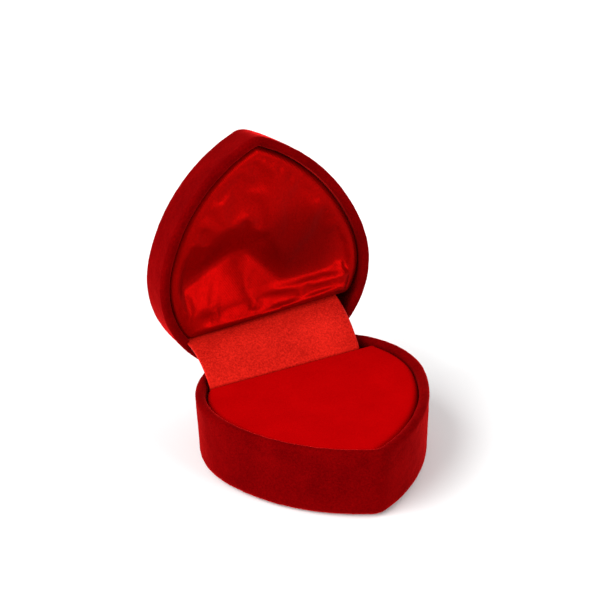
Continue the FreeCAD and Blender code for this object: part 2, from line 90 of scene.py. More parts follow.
# sizes of the visible skins alone, in millimetres; a skew is the slope of a straight rear edge
# and REAR_FACING is how far normals point backwards where that edge begins and is straight
RIM_ROUND = WALL / 2
NOTCH_MARGIN = 0.1
PILE_LIFT = 0.09
INSERT_CORNER = 1.8
REAR_CRISPNESS = 0.6
REAR_FACING = (0.5, 1.0)
PAD_INSET = 2.3
PAD_BACK = 9.05
PAD_SKEW = 0.028
PAD_EDGE = 1.5
PAD_CROWN = 0.16
PAD_CROWN_REACH = 4.0
PAD_WAVE = 0.05
PAD_WAVE_RATE = 0.16
PAD_WAVE_REACH = 3.0
LINING_SKEW = -0.061
LINING_FLARE = 0.6
LINING_SKIRT = 1.1
LINING_ROUND_DEPTH = 1.3
RIBBON_LEFT = -19.2
RIBBON_RIGHT = 16.2
RIBBON_SPREAD = 0.7
RIBBON_BEHIND = 0.2
RIBBON_LID_END = 0.7
RIBBON_BOW = 1.6
RIBBON_BOW_SLOPE = 0.02
RIBBON_THICKNESS = 0.25

# the lining's relief, in millimetres of the shut lid's x and y; a rate is noise cells per millimetre
# a line is its value at the far left, then (change, from x, to x) for each smooth step
HOLLOW_TOP = (-9.0, (-4.5, -22, 0), (3.0, 9, 21))
HOLLOW_VALLEY = (-0.2, (-5.2, -22, -4), (8.0, -4.5, 5))
HOLLOW_DEPTH = (0.8, (1.9, -24, -9), (-2.3, -8, 5))
HOLLOW_STRAIGHTENS = (-6, 6)
SOFTENING = (-0.9, -0.45, 0.0, 0.45, 0.9)
FOLD_LINE = (4.8, (-1.0, -8, 2))
FOLD_HEIGHT = 0.32
FOLD_WIDTH = 1.1
FOLD_BELOW_LINE = 0.2
FOLD_STARTS = (-4, 5)
LEAN_SLOPE = 0.22
LEAN_START = 4.8
BEAD_HEIGHT = 0.28
BEAD_WIDTH = 0.62
BEAD_SETBACK = 1.15
STREAK_HEIGHT = 0.05
STREAK_RATES = (0.5, 0.35, 0.16)
STREAKED_MIDDLE = -11
STREAKED_WIDTH = 9
STREAKED_FROM = (-6, -1)
STREAKED_TO = (6, 3)
SOFT_HEIGHT = 0.2
SOFT_RATE = 0.11
RELIEF_FADE = 1.9
LEAN_FADE = 0.9
BEAD_FADE = 0.4

# seeds of the noise
BASE_SEED = 3.0
LID_SEED = 11.0
PAD_SEED = 5.0
STREAK_SEED = 9.0
SOFT_SEED = 2.0

# how finely the meshes are divided: steps and spacings in millimetres, rows and columns in number;
# UNDERSIDE_COARSENESS and FILL_MARGIN multiply a spacing
SHELL_STEP = 0.35
SHELL_SPACING = 1.1
WALL_STEP = 0.4
INSIDE_STEP = 0.8
INSIDE_MARGIN = 0.6
SHELL_EDGE_ROWS = 9
RIM_ROWS = 19
INSERT_STEP = 0.4
PAD_SPACING = 0.55
PAD_SIDE_STEP = 0.8
PAD_FIRST_SIDE_ROW = PAD_UNDERSIDE + 1.0
PAD_EDGE_ROWS = 8
LINING_SPACING = 0.4
LINING_EDGE_ROWS = 11
UNDERSIDE_COARSENESS = 3
FILL_MARGIN = 0.6
RIBBON_COLUMNS = 90
RIBBON_STEPS = 36
RIBBON_TUCK_STEPS = 8
SHARP_ANGLE = math.radians(60.0)

# tolerances: two for finished meshes, in metres, and one for triangulating, in millimetres
SAME_PLACE = 1e-6
NO_LENGTH = 1e-7
SAME_CORNER = 1e-7

# the cloth simulation: a scale, a grid spacing and a cap on movement in millimetres, and counts
CLOTH_SCALE = 20.0
CLOTH_SPACING = 0.6
CLOTH_CAP = 0.3
CLOTH_MARGIN_CELLS = 3
CLOTH_FRAMES = 8


def bell(value, width):
    """A bump of height 1 about a value of 0."""
    return np.exp(-(value / width)**2)


def smooth(value, low, high):
    """A soft step from 0 at low to 1 at high, whichever of the two is larger."""
    t = np.clip((value - low) / (high - low), 0.0, 1.0)
    return t * t * (3 - 2 * t)


def stepped(x, line):
    """The value of a line at each x: its start, with each of its smooth steps added."""
    value, *steps = line
    for change, low, high in steps:
        value = value + change * smooth(x, low, high)
    return value


def noise_field(x, y, seed):
    return np.array([noise.noise(Vector((a, b, seed))) for a, b in zip(x, y)])


def on_circle(centre, towards, radius):
    direction = towards - centre
    return centre + direction / np.linalg.norm(direction) * radius


def side_centre():
    """Centre of the long side arc, which holds the lobe circle and the tip circle and touches both."""
    to_lobe = SIDE_RADIUS - LOBE_RADIUS
    to_tip = SIDE_RADIUS - TIP_RADIUS
    span = TIP_CENTRE - LOBE_CENTRE
    length = np.linalg.norm(span)
    along = (to_lobe**2 - to_tip**2 + length**2) / (2 * length)
    aside = math.sqrt(to_lobe**2 - along**2)
    direction = span / length
    inward = np.array([direction[1], -direction[0]])
    return LOBE_CENTRE + direction * along + inward * aside


def arc_points(centre, start, end, step, clockwise=False):
    """Points and outward normals along an arc, from start up to but not including end."""
    first = math.atan2(*(start - centre)[::-1])
    last = math.atan2(*(end - centre)[::-1])
    turn = (last - first) % (2 * math.pi)
    if clockwise:
        turn -= 2 * math.pi
    radius = np.linalg.norm(start - centre)
    count = max(3, round(abs(turn) * radius / step))
    angles = first + turn * np.arange(count) / count
    rays = np.stack([np.cos(angles), np.sin(angles)], axis=1)
    return centre + rays * radius, -rays if clockwise else rays


def flat_points(start, end, step):
    """Points and outward normals along a straight run at the back, up to but not including end."""
    count = max(3, round(np.linalg.norm(end - start) / step))
    points = start + (end - start) * (np.arange(count) / count)[:, None]
    return points, np.tile([0.0, 1.0], (count, 1))


def heart_outline(step, inset=0.0, back=BACK, corner=None, cleft=True):
    """Points and outward normals round the whole heart, anticlockwise from the tip."""
    corner = CORNER_RADIUS - inset if corner is None else corner
    lobe = LOBE_RADIUS - inset
    side = side_centre()
    rise = back - corner
    corner_centre = LOBE_CENTRE + np.array([math.sqrt((lobe - corner)**2 - rise**2), rise])
    tip = TIP_CENTRE + np.array([0.0, inset - TIP_RADIUS])
    tip_joint = on_circle(side, TIP_CENTRE, SIDE_RADIUS - inset)
    lobe_joint = on_circle(side, LOBE_CENTRE, SIDE_RADIUS - inset)
    corner_joint = on_circle(LOBE_CENTRE, corner_centre, lobe)
    back_joint = corner_centre + np.array([0.0, corner])
    runs = [
        arc_points(TIP_CENTRE, tip, tip_joint, step),
        arc_points(side, tip_joint, lobe_joint, step),
        arc_points(LOBE_CENTRE, lobe_joint, corner_joint, step),
        arc_points(corner_centre, corner_joint, back_joint, step),
    ]
    if cleft:
        shoulder = SHOULDER_RADIUS - inset
        cleft_centre = np.array([0.0, CLEFT_BOTTOM + CLEFT_RADIUS])
        up = back - shoulder - cleft_centre[1]
        aside = math.sqrt((shoulder + CLEFT_RADIUS + inset)**2 - up**2)
        shoulder_centre = cleft_centre + np.array([aside, up])
        shoulder_start = shoulder_centre + np.array([0.0, shoulder])
        joint = on_circle(cleft_centre, shoulder_centre, CLEFT_RADIUS + inset)
        bottom = cleft_centre - np.array([0.0, CLEFT_RADIUS + inset])
        runs.append(flat_points(back_joint, shoulder_start, step))
        runs.append(arc_points(shoulder_centre, shoulder_start, joint, step))
        runs.append(arc_points(cleft_centre, joint, bottom, step, clockwise=True))
        middle = bottom, np.array([0.0, 1.0])
    else:
        middle = np.array([0.0, back]), np.array([0.0, 1.0])
        runs.append(flat_points(back_joint, middle[0], step))
    points = np.concatenate([run[0] for run in runs])
    normals = np.concatenate([run[1] for run in runs])
    mirror = np.array([-1.0, 1.0])
    left_points = points[:0:-1] * mirror
    left_normals = normals[:0:-1] * mirror
    return (np.concatenate([points, middle[0][None], left_points]),
            np.concatenate([normals, middle[1][None], left_normals]))


def inside_points(outline, spacing, margin):
    """A staggered grid of points inside the outline, at least margin away from it."""
    low, high = outline.min(0), outline.max(0)
    rows = np.arange(low[1], high[1], spacing * math.sqrt(3) / 2)
    found = []
    for index, y in enumerate(rows):
        xs = np.arange(low[0], high[0], spacing) + (index % 2) * spacing / 2
        found.append(np.stack([xs, np.full_like(xs, y)], axis=1))
    grid = np.concatenate(found)
    return grid[is_inside(grid, outline) & (edge_distance(grid, outline) > margin)]


def is_inside(points, outline):
    """Whether each point is inside: a ray from it crosses the outline an odd number of times."""
    start, end = outline, np.roll(outline, -1, axis=0)
    x, y = points[:, :1], points[:, 1:]
    crosses = (start[:, 1] > y) != (end[:, 1] > y)
    rise = np.where(start[:, 1] == end[:, 1], 1.0, end[:, 1] - start[:, 1])
    at = start[:, 0] + (y - start[:, 1]) / rise * (end[:, 0] - start[:, 0])
    return (crosses & (x < at)).sum(1) % 2 == 1


def edge_distance(points, outline):
    """How far each point is from the nearest outline point."""
    return np.sqrt(((points[:, None, :] - outline[None, :, :])**2).sum(2)).min(1)


def filled(outline, spacing):
    """The outline's points followed by points inside it, and the triangles that join them."""
    points = np.concatenate([outline, inside_points(outline, spacing, spacing * FILL_MARGIN)])
    count = len(outline)
    edges = [(i, (i + 1) % count) for i in range(count)]
    inside_only = 1
    result = geometry.delaunay_2d_cdt([Vector(p) for p in points], edges, [list(range(count))],
                                      inside_only, SAME_CORNER)
    new_points, _, faces, origins = result[:4]
    assert len(new_points) == len(points) and all(o[0] == i for i, o in enumerate(origins))
    return points, faces


def make_mesh(name, points, faces, material):
    """A new object from points in millimetres."""
    mesh = bpy.data.meshes.new(name)
    mesh.from_pydata((np.asarray(points) * MM).tolist(), [], faces)
    obj = bpy.data.objects.new(name, mesh)
    bpy.context.scene.collection.objects.link(obj)
    work = bmesh.new()
    work.from_mesh(mesh)
    bmesh.ops.remove_doubles(work, verts=work.verts, dist=SAME_PLACE)
    bmesh.ops.dissolve_degenerate(work, edges=work.edges, dist=NO_LENGTH)
    bmesh.ops.recalc_face_normals(work, faces=work.faces)
    work.to_mesh(mesh)
    work.free()
    mesh.materials.append(material)
    mesh.shade_smooth()
    mesh.set_sharp_from_angle(angle=SHARP_ANGLE)
    return obj


def ring_faces(rings, count):
    """Quads between neighbouring rings of count points each."""
    faces = []
    for ring in range(rings - 1):
        for index in range(count):
            following = (index + 1) % count
            low, high = ring * count, (ring + 1) * count
            faces.append((low + index, low + following, high + following, high + index))
    return faces


def fill_ring(parts, faces, row, spacing, height_of=None):
    """Close one ring of a swept shape with points inside it and triangles.

    parts holds the rings first and then the points of any ring that is closed already.  The new
    points lie level with the ring, or at height_of(points, their distance from the ring)."""
    ring = parts[row]
    count = len(ring)
    flat, triangles = filled(ring[:, :2], spacing)
    inner = flat[count:]
    heights = np.full(len(inner), ring[0, 2])
    if height_of:
        heights = height_of(inner, edge_distance(inner, ring[:, :2]))
    start = sum(len(part) for part in parts)
    parts.append(np.column_stack([inner, heights]))
    for triangle in triangles:
        faces.append([row * count + i if i < count else start + i - count for i in triangle])


def tray_profile(depth, floor, edge_round):
    """(inset, height over the closed end): up the outside, over the rim and down to the floor inside."""
    lean = math.tan(DRAFT)
    centre = (depth - edge_round) * lean + edge_round
    turn = np.radians(np.linspace(-90, 0, SHELL_EDGE_ROWS))
    rows = [(centre - edge_round * math.cos(a), edge_round * (1 + math.sin(a))) for a in turn]
    for height in np.arange(edge_round + WALL_STEP, depth - RIM_ROUND - WALL_STEP / 2, WALL_STEP):
        rows.append(((depth - height) * lean, height))
    for a in np.radians(np.linspace(180, 0, RIM_ROWS)):
        leaning = RIM_ROUND * lean * (a > math.pi / 2)
        rows.append((RIM_ROUND + (RIM_ROUND - leaning) * math.cos(a),
                     depth - RIM_ROUND + RIM_ROUND * math.sin(a)))
    for height in np.arange(depth - RIM_ROUND - INSIDE_MARGIN, floor + INSIDE_MARGIN, -INSIDE_STEP):
        rows.append((WALL, height))
    rows.append((WALL, floor))
    return rows


def flocked_tray(profile, height_of, notched=False):
    """A heart tray swept along its profile, closed below and on its inside floor."""
    outline, normals = heart_outline(SHELL_STEP)
    count = len(outline)
    parts = [np.column_stack([outline - normals * inset, np.full(count, height_of(height))])
             for inset, height in profile]
    faces = ring_faces(len(profile), count)
    for row in (0, len(profile) - 1):
        fill_ring(parts, faces, row, SHELL_SPACING)
    points = np.concatenate(parts)
    if notched:
        beside = np.abs(np.abs(points[:, 0]) - HINGE_SPREAD) < NOTCH_HALF
        in_back_wall = points[:, 1] > BACK - WALL - NOTCH_MARGIN
        points[beside & in_back_wall & (points[:, 2] > NOTCH_FLOOR), 2] = NOTCH_FLOOR
    return points, faces


def swung_open(points):
    """Points of the shut lid, where they lie on the open lid."""
    back = points[:, 1] - AXIS[0]
    rise = points[:, 2] - AXIS[1]
    moved = points.copy()
    moved[:, 1] = AXIS[0] + back * math.cos(OPEN_ANGLE) + rise * math.sin(OPEN_ANGLE)
    moved[:, 2] = AXIS[1] - back * math.sin(OPEN_ANGLE) + rise * math.cos(OPEN_ANGLE)
    return moved


# ---------------------------------------------------------------- materials

def new_material(name):
    material = bpy.data.materials.new(name)
    material.use_nodes = True
    nodes = material.node_tree.nodes
    return material, nodes, material.node_tree.links, nodes["Principled BSDF"]


def set_inputs(node, values):
    for key, value in values.items():
        node.inputs[key].default_value = value


def add_node(nodes, kind, inputs=None, **settings):
    node = nodes.new(kind)
    for key, value in settings.items():
        setattr(node, key, value)
    set_inputs(node, inputs or {})
    return node


def add_noise(nodes, links, vector, scale, detail, roughness=0.5):
    """The value of a noise texture."""
    texture = add_node(nodes, "ShaderNodeTexNoise",
                       {"Scale": scale, "Detail": detail, "Roughness": roughness})
    links.new(vector, texture.inputs["Vector"])
    return texture.outputs["Fac"]


def add_ramp(nodes, links, value, stops, interpolation="LINEAR"):
    """The colour that a value has between stops, each of them (position, colour)."""
    ramp = nodes.new("ShaderNodeValToRGB")
    ramp.color_ramp.interpolation = interpolation
    elements = ramp.color_ramp.elements
    for element, (position, colour) in zip(elements, stops, strict=True):
        element.position = position
        element.color = (*colour, 1.0)
    links.new(value, ramp.inputs["Fac"])
    return ramp.outputs["Color"]


def add_mixture(nodes, links, first, first_share, second, second_share):
    """The sum of a share of each of two values."""
    scaled = add_node(nodes, "ShaderNodeMath", {1: second_share}, operation="MULTIPLY")
    total = add_node(nodes, "ShaderNodeMath", {1: first_share}, operation="MULTIPLY_ADD")
    links.new(second, scaled.inputs[0])
    links.new(first, total.inputs[0])
    links.new(scaled.outputs[0], total.inputs[2])
    return total.outputs[0]


def add_bump(nodes, links, shader, height, strength, distance):
    bump = add_node(nodes, "ShaderNodeBump", {"Strength": strength, "Distance": distance})
    links.new(height, bump.inputs["Height"])
    links.new(bump.outputs["Normal"], shader.inputs["Normal"])


def pile_material(name, light, dark, sheen, grain):
    """Short upright pile: speckled colour, brushed patches, a rough bump and a soft bright edge."""
    material, nodes, links, shader = new_material(name)
    place = nodes.new("ShaderNodeTexCoord").outputs["Object"]
    speckle = add_noise(nodes, links, place, scale=grain, detail=3.0, roughness=0.65)
    brushed = add_noise(nodes, links, place, scale=130.0, detail=4.0, roughness=0.55)
    shade = add_mixture(nodes, links, brushed, 0.45, speckle, 0.62)
    colour = add_ramp(nodes, links, shade, [(0.36, dark), (0.78, light)])
    links.new(colour, shader.inputs["Base Color"])
    add_bump(nodes, links, shader, speckle, strength=0.7, distance=0.00006)
    set_inputs(shader, {"Roughness": 0.95, "Specular IOR Level": 0.0, "Sheen Weight": sheen,
                        "Sheen Roughness": 0.32, "Sheen Tint": (1.0, 0.02, 0.02, 1.0)})
    return material


def painted_shade_patch(nodes, links, place, colour, centre, radii, kept):
    """Painted shade: the colour, fading to a kept share of itself in the middle of an ellipsoid."""
    fitted = add_node(nodes, "ShaderNodeMapping", {"Location": centre, "Scale": radii},
                      vector_type="TEXTURE")
    ball = add_node(nodes, "ShaderNodeTexGradient", gradient_type="SPHERICAL")
    shaded = add_node(nodes, "ShaderNodeMix", {"Factor": 1.0}, data_type="RGBA", blend_type="MULTIPLY")
    links.new(place, fitted.inputs["Vector"])
    links.new(fitted.outputs["Vector"], ball.inputs["Vector"])
    fade = add_ramp(nodes, links, ball.outputs["Fac"], [(0.0, (1.0, 1.0, 1.0)), (0.6, (kept, kept, kept))],
                    interpolation="EASE")
    links.new(colour, shaded.inputs["A"])
    links.new(fade, shaded.inputs["B"])
    return shaded.outputs["Result"]


def satin_material(name, light, dark, pitch, roughness, metallic, patches=()):
    """Satin: a fine slanted twill, slightly uneven dye, and a broad tinted gloss.

    Each patch is (centre, radii, kept): an ellipsoid, fixed to the piece, in which the colour is darker, as
    painted shade."""
    material, nodes, links, shader = new_material(name)
    place = nodes.new("ShaderNodeTexCoord").outputs["Object"]
    slant = add_node(nodes, "ShaderNodeMapping", {"Rotation": (0.2, 0.6, math.radians(32))})
    twill = add_node(nodes, "ShaderNodeTexWave",
                     {"Scale": pitch, "Distortion": 2.5, "Detail": 2.0, "Detail Scale": 3.0})
    links.new(place, slant.inputs["Vector"])
    links.new(slant.outputs["Vector"], twill.inputs["Vector"])
    slub = add_noise(nodes, links, place, scale=2400.0, detail=4.0, roughness=0.75)
    cloud = add_noise(nodes, links, place, scale=90.0, detail=3.0)
    shade = add_mixture(nodes, links, slub, 0.72, cloud, 0.28)
    colour = add_ramp(nodes, links, shade, [(0.3, dark), (0.72, light)])
    # each patch darkens the colour: painted shade
    for centre, radii, kept in patches:
        colour = painted_shade_patch(nodes, links, place, colour, centre, radii, kept)
    links.new(colour, shader.inputs["Base Color"])
    height = add_node(nodes, "ShaderNodeMath", operation="ADD")
    links.new(twill.outputs["Fac"], height.inputs[0])
    links.new(slub, height.inputs[1])
    add_bump(nodes, links, shader, height.outputs[0], strength=0.35, distance=0.00004)
    tint = (1.0, 0.05, 0.04, 1.0)
    set_inputs(shader, {"Roughness": roughness, "Metallic": metallic, "Specular IOR Level": 0.1,
                        "Specular Tint": tint, "Sheen Weight": 0.12, "Sheen Roughness": 0.35,
                        "Sheen Tint": tint})
    return material


def card_material(name, light, dark):
    """Plain card, flecked with fibres."""
    material, nodes, links, shader = new_material(name)
    place = nodes.new("ShaderNodeTexCoord").outputs["Object"]
    fibres = add_noise(nodes, links, place, scale=900.0, detail=5.0, roughness=0.7)
    colour = add_ramp(nodes, links, fibres, [(0.3, dark), (0.7, light)])
    links.new(colour, shader.inputs["Base Color"])
    add_bump(nodes, links, shader, fibres, strength=0.4, distance=0.00005)
    set_inputs(shader, {"Roughness": 0.9})
    return material


def steel_material(name, light, dark, roughness):
    """Stamped strip: brushed lines along X and a little tarnish."""
    material, nodes, links, shader = new_material(name)
    place = nodes.new("ShaderNodeTexCoord").outputs["Object"]
    stretch = add_node(nodes, "ShaderNodeMapping", {"Scale": (0.04, 1.0, 1.0)})
    links.new(place, stretch.inputs["Vector"])
    lines = add_noise(nodes, links, stretch.outputs["Vector"], scale=9000.0, detail=3.0)
    tarnish = add_noise(nodes, links, place, scale=500.0, detail=4.0, roughness=0.6)
    colour = add_ramp(nodes, links, tarnish, [(0.35, dark), (0.65, light)])
    links.new(colour, shader.inputs["Base Color"])
    rough = add_node(nodes, "ShaderNodeMapRange", {"To Min": roughness - 0.08, "To Max": roughness + 0.12})
    links.new(lines, rough.inputs["Value"])
    links.new(rough.outputs["Result"], shader.inputs["Roughness"])
    add_bump(nodes, links, shader, lines, strength=0.25, distance=0.00002)
    set_inputs(shader, {"Metallic": 1.0})
    return material


FLOCK = pile_material("red_flock", light=(0.215, 0.0006, 0.001), dark=(0.09, 0.0, 0.0005),
                      sheen=1.0, grain=2600.0)
VELVET = pile_material("red_velvet", light=(0.43, 0.0004, 0.001), dark=(0.33, 0.0, 0.0005),
                       sheen=0.1, grain=3200.0)
# the lining's one patch is painted shade, darkening the satin over the right of its hollow
SATIN = satin_material("lining_satin", light=(0.33, 0.001, 0.0008), dark=(0.185, 0.0004, 0.0003),
                       pitch=900.0, roughness=0.35, metallic=0.65,
                       patches=[((0.0085, 0.0216, 0.0365), (0.0132, 0.02, 0.0110), 0.55)])
RIBBON = satin_material("ribbon_satin", light=(0.93, 0.022, 0.012), dark=(0.25, 0.001, 0.001),
                        pitch=1500.0, roughness=0.42, metallic=0.15)
# felt on the lining riser, coloured near black as painted shade for the dark gap beside the ribbon
FELT_AS_SHADE = pile_material("dark_felt_painted_shade", light=(0.035, 0.0, 0.001), dark=(0.012, 0.0, 0.0),
                     sheen=0.05, grain=2600.0)
CARD = card_material("grey_card", light=(0.62, 0.55, 0.45), dark=(0.40, 0.34, 0.27))
STEEL = steel_material("hinge_steel", light=(0.62, 0.60, 0.57), dark=(0.42, 0.40, 0.37), roughness=0.32)
SPRING = steel_material("spring_steel", light=(0.34, 0.33, 0.33), dark=(0.20, 0.19, 0.19), roughness=0.28)


# ---------------------------------------------------------------- pieces

def rough_pile(obj, seed):
    """Lift each point a little along its normal, so that the pile is uneven in outline too."""
    coarse_rate, coarse_share = 0.55, 0.6
    fine_rate, fine_share = 2.3, 0.4
    mesh = obj.data
    lifts = []
    for vertex in mesh.vertices:
        place = vertex.co / MM
        coarse = noise.noise(place * coarse_rate + Vector((seed, 0, 0)))
        fine = noise.noise(place * fine_rate + Vector((0, seed, 0)))
        lifts.append(vertex.normal * (coarse * coarse_share + fine * fine_share) * PILE_LIFT * MM)
    for vertex, lift in zip(mesh.vertices, lifts):
        vertex.co += lift
    mesh.update()


def make_base_shell():
    profile = tray_profile(BASE_HEIGHT, BASE_FLOOR, BASE_EDGE_ROUND)
    points, faces = flocked_tray(profile, lambda height: height, notched=True)
    shell = make_mesh("flocked_base", points, faces, FLOCK)
    rough_pile(shell, BASE_SEED)
    for vertex in shell.data.vertices:
        vertex.co.z = max(vertex.co.z, 0.0)
    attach(shell, "base")
    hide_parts("base_shell")


def make_lid_shell():
    profile = tray_profile(LID_DEPTH, LID_ROOF, LID_EDGE_ROUND)
    points, faces = flocked_tray(profile, lambda height: LID_RIM + LID_DEPTH - height)
    shell = make_mesh("flocked_lid", swung_open(points), faces, FLOCK)
    rough_pile(shell, LID_SEED)
    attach(shell, "lid")
    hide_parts("lid_shell")


def skewed(points, back, skew):
    """Turn the straight rear edge by sliding points along Y, fading out towards the widest part."""
    moved = points.copy()
    moved[:, 1] += skew * points[:, 0] * smooth(points[:, 1], 0.0, back)
    return moved


def insert_outline(inset, back):
    return heart_outline(INSERT_STEP, inset, back, INSERT_CORNER, cleft=False)


def cushion(inset, back, skew, profile, face_height, spacing):
    """A closed straight-backed heart: side rings from the profile, then a filled face and underside.

    The sides swell where the further inset is negative, and the straight rear edge is crisper than
    they are.  profile is (further inset, height) from the underside up to the face.
    face_height(points, distance) gives the height of points on the face, distance being how far
    they are from its outline."""
    outline, normals = insert_outline(inset, back)
    straight = smooth(normals[:, 1], *REAR_FACING)
    parts = []
    for further, height in profile:
        moved = further * (1 - straight * (1.0 if further < 0 else REAR_CRISPNESS))
        parts.append(np.column_stack([outline - normals * moved[:, None], np.full(len(outline), height)]))
    faces = ring_faces(len(profile), len(outline))
    fill_ring(parts, faces, 0, spacing * UNDERSIDE_COARSENESS)
    fill_ring(parts, faces, len(profile) - 1, spacing, face_height)
    return skewed(np.concatenate(parts), back, skew), faces


def grid_distance(x, y, outline):
    """Distance from each grid point to the outline, or 0 outside it."""
    points = np.column_stack([x.ravel(), y.ravel()])
    inside = is_inside(points, outline)
    distance = np.zeros(len(points))
    distance[inside] = edge_distance(points[inside], outline)
    return distance.reshape(x.shape)


def simulate_cloth(x, y, height, pinned, cloth_settings):
    """Heights of a square-meshed sheet, in millimetres, once it has moved as cloth.

    It is simulated CLOTH_SCALE times larger than life, because Blender's cloth is meant for big things."""
    rows, columns = height.shape
    points = np.column_stack([x.ravel(), y.ravel(), height.ravel()])
    faces = [(r * columns + c, r * columns + c + 1, (r + 1) * columns + c + 1, (r + 1) * columns + c)
             for r in range(rows - 1) for c in range(columns - 1)]
    mesh = bpy.data.meshes.new("cloth")
    mesh.from_pydata((points * MM * CLOTH_SCALE).tolist(), [], faces)
    sheet = bpy.data.objects.new("cloth", mesh)
    bpy.context.scene.collection.objects.link(sheet)
    group = sheet.vertex_groups.new(name="pinned")
    group.add(np.flatnonzero(pinned.ravel()).tolist(), 1.0, "REPLACE")
    cloth = sheet.modifiers.new("cloth", "CLOTH")
    cloth.collision_settings.use_collision = False
    settings = cloth.settings
    settings.vertex_group_mass = "pinned"
    settings.effector_weights.gravity = 0.0
    settings.quality = 5
    settings.mass = 0.01
    settings.air_damping = 1.0
    settings.use_pressure = True
    for key, value in cloth_settings.items():
        setattr(settings, key, value)
    for step in range(1, CLOTH_FRAMES + 1):
        bpy.context.scene.frame_set(step)
    settled = sheet.evaluated_get(bpy.context.evaluated_depsgraph_get())
    result = settled.to_mesh()
    places = np.empty(len(result.vertices) * 3)
    result.vertices.foreach_get("co", places)
    settled.to_mesh_clear()
    bpy.data.objects.remove(sheet)
    bpy.context.scene.frame_set(1)
    return places.reshape(rows, columns, 3)[:, :, 2] / (MM * CLOTH_SCALE)


def sample_grid(values, low, spacing, x, y):
    """Catmull-Rom values at (x, y) from a square grid that starts at low."""
    def weights(t):
        return (0.5 * (-t + 2 * t**2 - t**3), 0.5 * (2 - 5 * t**2 + 3 * t**3),
                0.5 * (t + 4 * t**2 - 3 * t**3), 0.5 * (t**3 - t**2))
    column, row = (x - low[0]) / spacing, (y - low[1]) / spacing
    left, below = np.floor(column).astype(int), np.floor(row).astype(int)
    total = np.zeros(len(x))
    for j, row_weight in enumerate(weights(row - below)):
        for i, column_weight in enumerate(weights(column - left)):
            total += values[below + j - 1, left + i - 1] * row_weight * column_weight
    return total


def cloth_drift(outline, height_of, cloth_settings):
    """A function of (x, y): how far a cloth cover settles from height_of(x, y, distance)."""
    low = outline.min(0) - CLOTH_MARGIN_CELLS * CLOTH_SPACING
    high = outline.max(0) + CLOTH_MARGIN_CELLS * CLOTH_SPACING
    x, y = np.meshgrid(np.arange(low[0], high[0], CLOTH_SPACING), np.arange(low[1], high[1], CLOTH_SPACING))
    distance = grid_distance(x, y, outline)
    height = height_of(x.ravel(), y.ravel(), distance.ravel()).reshape(x.shape)
    drift = simulate_cloth(x, y, height, distance < CLOTH_SPACING, cloth_settings) - height
    drift = CLOTH_CAP * np.tanh(drift / CLOTH_CAP)
    return lambda px, py: sample_grid(drift, low, CLOTH_SPACING, px, py)


def make_pad():
    """The velvet pad: a soft edge and a top with a slight crown and faint waves."""
    profile = [(0.0, PAD_UNDERSIDE)]
    profile += [(0.0, height) for height in np.arange(PAD_FIRST_SIDE_ROW, PAD_TOP - PAD_EDGE, PAD_SIDE_STEP)]
    for a in np.radians(np.linspace(0, 90, PAD_EDGE_ROWS)):
        profile.append((PAD_EDGE * (1 - math.cos(a)), PAD_TOP - PAD_EDGE * (1 - math.sin(a))))

    def top(points, distance):
        crown = PAD_CROWN * (1 - np.exp(-distance / PAD_CROWN_REACH))
        waves = noise_field(points[:, 0] * PAD_WAVE_RATE, points[:, 1] * PAD_WAVE_RATE, PAD_SEED)
        return PAD_TOP + crown + waves * PAD_WAVE * np.minimum(distance / PAD_WAVE_REACH, 1.0)

    points, faces = cushion(PAD_INSET, PAD_BACK, PAD_SKEW, profile, top, PAD_SPACING)
    pad = make_mesh("velvet_pad", points, faces, VELVET)
    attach(pad, "base")
    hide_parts("pad_velvet", "pad_foam")


def make_lining():
    """Puffed satin in the lid, with a fold that runs up to the right above its straight lower edge."""
    back_level = LINING_FACE + LINING_DEPTH
    profile = [(-LINING_FLARE, back_level), (-LINING_FLARE, back_level - LINING_SKIRT)]
    for a in np.radians(np.linspace(0, 90, LINING_EDGE_ROWS)):
        profile.append(((LINING_EDGE + LINING_FLARE) * (1 - math.cos(a)) - LINING_FLARE,
                        LINING_FACE + LINING_ROUND_DEPTH * (1 - math.sin(a))))

    def settle(x, y):
        return np.zeros(len(x))

    outline, normals = insert_outline(LINING_INSET, LINING_BACK)
    settle = cloth_drift(outline - normals * LINING_EDGE, lining_puff, {
        "tension_stiffness": 15.0, "compression_stiffness": 15.0, "shear_stiffness": 5.0,
        "bending_stiffness": 8.0, "shrink_min": -0.008, "uniform_pressure_force": 0.0})

    def face(points, distance):
        x, y = points.T
        return LINING_FACE - lining_puff(x, y, distance) - settle(x, y)

    points, faces = cushion(LINING_INSET, LINING_BACK, LINING_SKEW, profile, face, LINING_SPACING)
    lining = make_mesh("satin_lining", swung_open(points), faces, SATIN)
    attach(lining, "lid")
    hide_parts("lining_satin", "lining_wadding")


def lining_hollow(x, y):
    """Depth of the hollow pressed into the satin, as a height below its face.

    It runs from the lower left up to the middle and down again to the lower right.  Its upper side leans
    over it and its lower side faces up."""
    to_the_right = smooth(x, *HOLLOW_STRAIGHTENS)
    top_line = stepped(x, HOLLOW_TOP)
    valley_line = stepped(x, HOLLOW_VALLEY)
    fall = np.clip((y - top_line) / (valley_line - top_line), 0.0, 1.0)
    falling = smooth(fall, 0.0, 1.0) * (1 - to_the_right) + fall * to_the_right
    climb = np.clip((y - valley_line) / (stepped(x, FOLD_LINE) - valley_line), 0.0, 1.0)
    return -stepped(x, HOLLOW_DEPTH) * np.where(y < valley_line, falling, 1.0 - climb)


